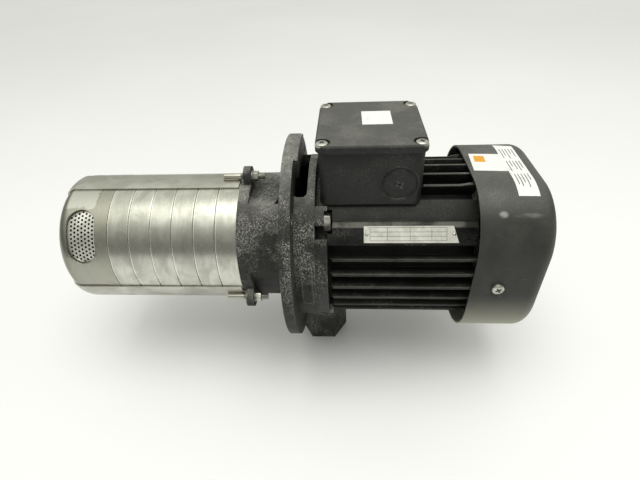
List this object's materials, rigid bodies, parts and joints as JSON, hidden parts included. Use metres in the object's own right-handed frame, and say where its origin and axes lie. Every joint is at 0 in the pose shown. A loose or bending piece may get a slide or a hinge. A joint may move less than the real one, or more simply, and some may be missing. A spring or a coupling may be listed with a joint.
{
  "type": "immersion coolant pump",
  "caption": "Multistage immersion coolant pump lying on its side: a stainless stage stack with an inlet screen, a round mounting flange, and a finned motor with a terminal box and fan cover",
  "frame": {"origin": "on the shaft, in the tank side face of the mounting flange, which is the centre of its bolt circle", "axes": "+X runs along the shaft from the strainer to the motor, +Z points from the shaft up to the terminal box and -Z down to the discharge port, +Y completes a right-handed frame"},
  "size_m": [0.3943, 0.18, 0.2284],
  "materials": {
    "cast_iron": "dark cast surface, dusty",
    "motor_paint": "semi-matt black paint",
    "box_paint": "dark grey paint",
    "cover_paint": "grey paint, scuffed",
    "stainless": "pressed stainless sheet, stained",
    "screen_steel": "perforated stainless sheet",
    "fastener_steel": "zinc plated",
    "machined_steel": "turned and ground",
    "core_steel": "stacked electrical sheet, varnished",
    "copper": "varnished copper wire",
    "seal_ceramic": "lapped carbon",
    "rubber_black": "moulded",
    "plastic_black": "moulded",
    "bush_carbon": "resin filled carbon",
    "plate_aluminium": "satin"
  },
  "bodies": {
    "frame": {"pump_head": "cast_iron", "mounting_flange": "cast_iron", "motor_stool": "cast_iron", "discharge_boss": "cast_iron", "strainer_housing": "stainless", "strainer_screen": "screen_steel", "inlet_bush": "bush_carbon", "chamber_1": "stainless", "chamber_2": "stainless", "chamber_3": "stainless", "chamber_4": "stainless", "chamber_5": "stainless", "chamber_6": "stainless", "neck_rings": "machined_steel", "strap_1": "stainless", "strap_2": "stainless", "strap_3": "stainless", "strap_washers": "fastener_steel", "strap_nuts": "fastener_steel", "seal_seat": "seal_ceramic", "motor_flange": "cast_iron", "flange_screws": "fastener_steel", "stator_frame": "motor_paint", "frame_screws": "fastener_steel", "stator_core": "core_steel", "windings": "copper", "drive_bearing_outer": "machined_steel", "fan_bearing_outer": "machined_steel", "rear_end_shield": "cast_iron", "fan_cover": "cover_paint", "cover_screws": "fastener_steel", "terminal_box": "box_paint", "box_gasket": "rubber_black", "box_lid": "box_paint", "lid_screws": "fastener_steel", "terminal_board": "plastic_black", "terminal_studs": "fastener_steel", "nameplate": "plate_aluminium"},
    "rotor": {"pump_shaft": "machined_steel", "impeller_1": "machined_steel", "impeller_2": "machined_steel", "impeller_3": "machined_steel", "impeller_4": "machined_steel", "impeller_5": "machined_steel", "impeller_6": "machined_steel", "impeller_spacers": "machined_steel", "shaft_nut": "fastener_steel", "seal_head": "machined_steel", "seal_bellows": "rubber_black", "coupling_half_1": "cast_iron", "coupling_half_2": "cast_iron", "coupling_screws": "fastener_steel", "motor_shaft": "machined_steel", "rotor_core": "core_steel", "drive_bearing_inner": "machined_steel", "fan_bearing_inner": "machined_steel", "cooling_fan": "plastic_black"},
    "drive_bearing_balls": {"drive_bearing_cage": "machined_steel"},
    "fan_bearing_balls": {"fan_bearing_cage": "machined_steel"}
  },
  "joints": [
    {"name": "shaft_spin", "type": "hinge", "parent": "frame", "child": "rotor", "pos_m": [0, 0, 0], "axis": [1, 0, 0], "continuous": true},
    {"name": "drive_bearing_spin", "type": "hinge", "parent": "frame", "child": "drive_bearing_balls", "pos_m": [0.035, 0, 0], "axis": [1, 0, 0], "continuous": true},
    {"name": "fan_bearing_spin", "type": "hinge", "parent": "frame", "child": "fan_bearing_balls", "pos_m": [0.1475, 0, 0], "axis": [1, 0, 0], "continuous": true}
  ],
  "couplings": [
    {"joint": "drive_bearing_spin", "follows": "shaft_spin", "ratio": 0.3836},
    {"joint": "fan_bearing_spin", "follows": "shaft_spin", "ratio": 0.384}
  ]
}
